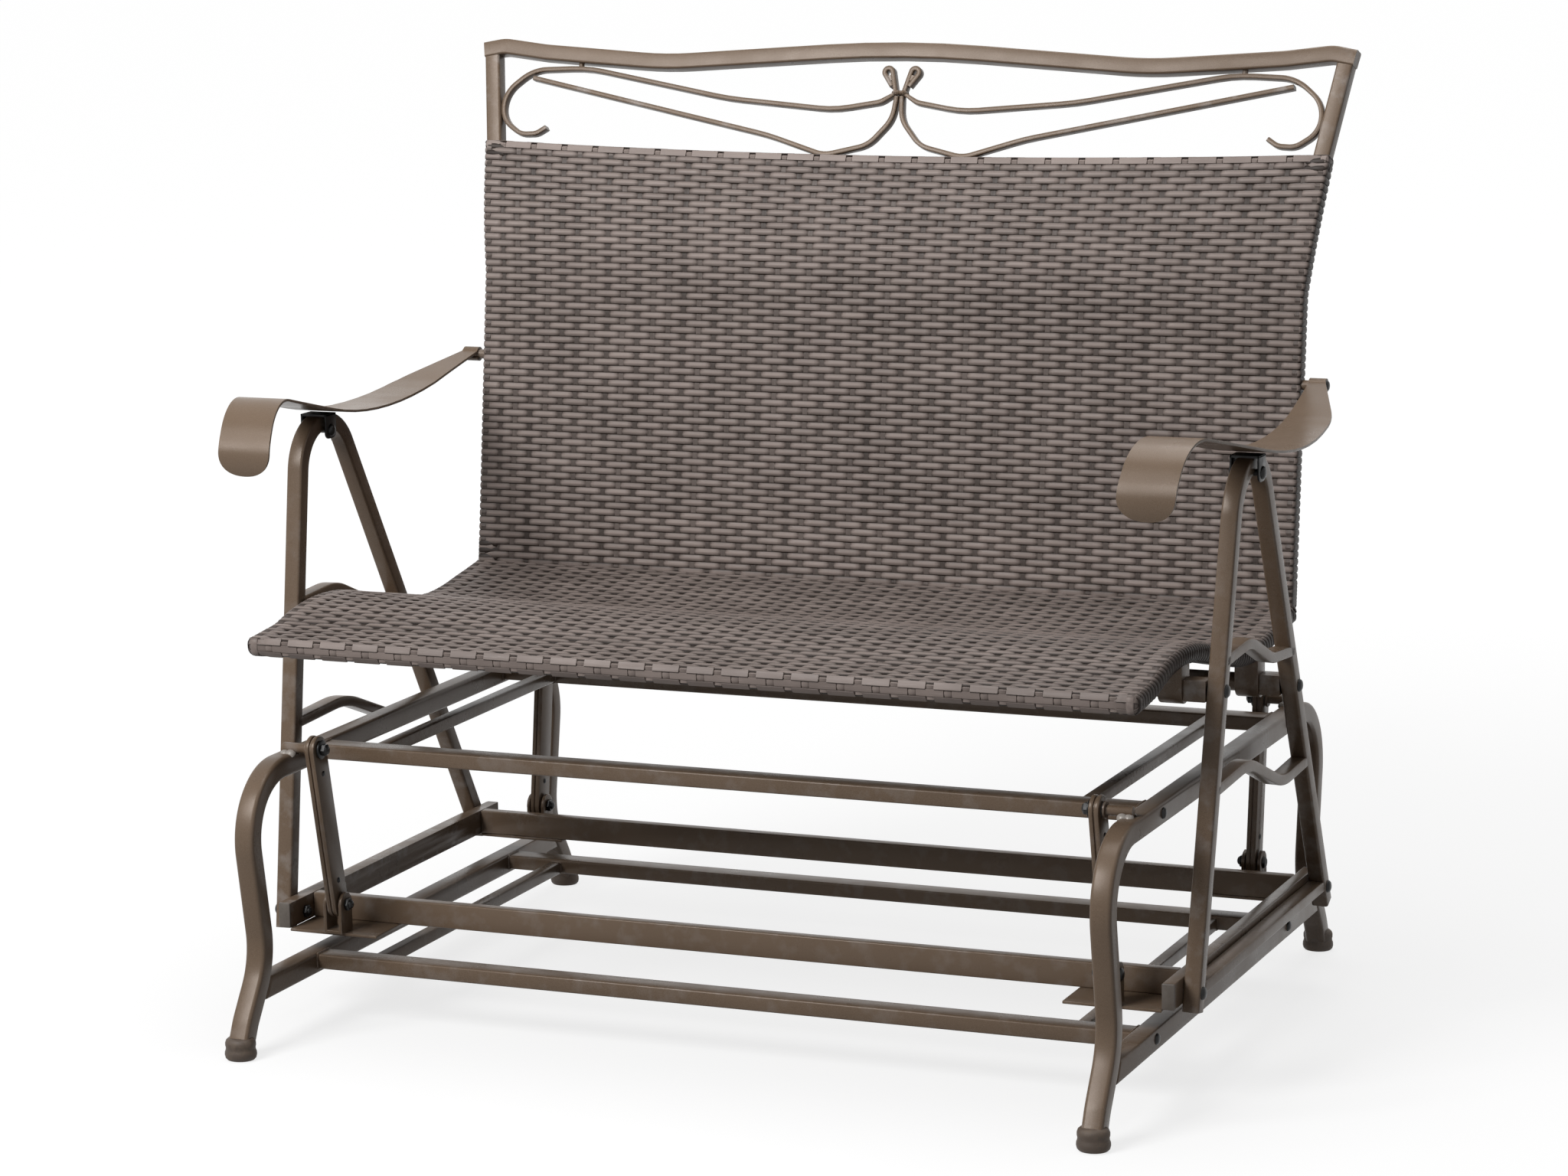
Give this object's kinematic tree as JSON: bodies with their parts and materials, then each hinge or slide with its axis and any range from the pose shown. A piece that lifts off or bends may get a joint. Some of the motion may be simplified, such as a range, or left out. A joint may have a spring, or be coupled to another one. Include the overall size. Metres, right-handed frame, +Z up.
{
  "type": "glider bench",
  "caption": "Woven-seat glider bench: a bent-tube base carries the seat, back and A-shaped arm frames on swinging links.",
  "frame": {"origin": "on the floor, under the middle of the bench", "axes": "+X along the seat to the right as seen from the front, +Y to the back, +Z up"},
  "size_m": [1.238, 0.917, 1.1318],
  "materials": {
    "powder_coat": "satin grey-brown metallic powder coat",
    "resin_wicker": "satin woven resin strand",
    "black_steel": "semi-gloss black",
    "black_nylon": "moulded",
    "rubber": "matt"
  },
  "bodies": {
    "base": {"base_hoop_left": "powder_coat", "base_hoop_right": "powder_coat", "base_side_rail_left": "powder_coat", "base_side_rail_right": "powder_coat", "upper_inner_rail_left": "powder_coat", "upper_inner_rail_right": "powder_coat", "lower_inner_rail_left": "powder_coat", "lower_inner_rail_right": "powder_coat", "foot_tip_front_left": "rubber", "foot_tip_front_right": "rubber", "foot_tip_rear_left": "rubber", "foot_tip_rear_right": "rubber", "upper_crossbar_front": "powder_coat", "upper_crossbar_rear": "powder_coat", "lower_crossbar_front": "powder_coat", "lower_crossbar_rear": "powder_coat", "pivot_rods": "powder_coat", "rod_retaining_screws": "black_steel", "base_bolts": "black_steel"},
    "front_left_link": {"swing_link_front_left": "powder_coat", "link_bushes_front_left": "black_nylon"},
    "front_right_link": {"swing_link_front_right": "powder_coat", "link_bushes_front_right": "black_nylon"},
    "rear_left_link": {"swing_link_rear_left": "powder_coat", "link_bushes_rear_left": "black_nylon"},
    "rear_right_link": {"swing_link_rear_right": "powder_coat", "link_bushes_rear_right": "black_nylon"},
    "glider": {"arm_bracket_left": "black_steel", "arm_bracket_right": "black_steel", "armrest_left": "powder_coat", "armrest_right": "powder_coat", "back_inner_rails": "powder_coat", "back_upright_left": "powder_coat", "back_upright_right": "powder_coat", "back_weave": "resin_wicker", "crest_rail": "powder_coat", "frame_bolts": "black_steel", "glider_cross_rail_front": "powder_coat", "glider_cross_rail_rear": "powder_coat", "glider_side_rail_left": "powder_coat", "glider_side_rail_right": "powder_coat", "hanger_bolts": "black_steel", "hanger_front_left": "powder_coat", "hanger_front_right": "powder_coat", "hanger_rear_left": "powder_coat", "hanger_rear_right": "powder_coat", "rail_end_caps": "black_nylon", "scroll_left": "powder_coat", "scroll_right": "powder_coat", "scroll_studs_and_collar": "black_steel", "seat_cross_tube_front": "powder_coat", "seat_cross_tube_rear": "powder_coat", "seat_frame": "powder_coat", "seat_weave": "resin_wicker", "side_braces_left": "powder_coat", "side_braces_right": "powder_coat", "side_frame_left": "powder_coat", "side_frame_right": "powder_coat", "side_stretcher_left": "powder_coat", "side_stretcher_right": "powder_coat"}
  },
  "joints": [
    {"name": "front_left_swing", "type": "hinge", "parent": "base", "child": "front_left_link", "pos_m": [-0.482, -0.3077, 0.343], "axis": [1, 0, 0], "range_deg": [-12, 12]},
    {"name": "front_right_swing", "type": "hinge", "parent": "base", "child": "front_right_link", "pos_m": [0.482, -0.3077, 0.343], "axis": [1, 0, 0], "range_deg": [-12.3, 12.3]},
    {"name": "rear_left_swing", "type": "hinge", "parent": "base", "child": "rear_left_link", "pos_m": [-0.482, 0.3169, 0.343], "axis": [1, 0, 0], "range_deg": [-12.3, 12.3]},
    {"name": "rear_right_swing", "type": "hinge", "parent": "base", "child": "rear_right_link", "pos_m": [0.482, 0.3169, 0.343], "axis": [1, 0, 0], "range_deg": [-12.3, 12.3]},
    {"name": "glider_hang", "type": "hinge", "parent": "front_left_link", "child": "glider", "pos_m": [-0.482, -0.26646, 0.1473], "axis": [1, 0, 0], "range_deg": [-13.9, 13.9]}
  ],
  "couplings": [
    {"joint": "front_right_swing", "follows": "front_left_swing", "ratio": 1},
    {"joint": "rear_left_swing", "follows": "front_left_swing", "ratio": 0.9857},
    {"joint": "rear_right_swing", "follows": "front_left_swing", "ratio": 0.9857},
    {"joint": "glider_hang", "follows": "front_left_swing", "ratio": -1.1205}
  ]
}
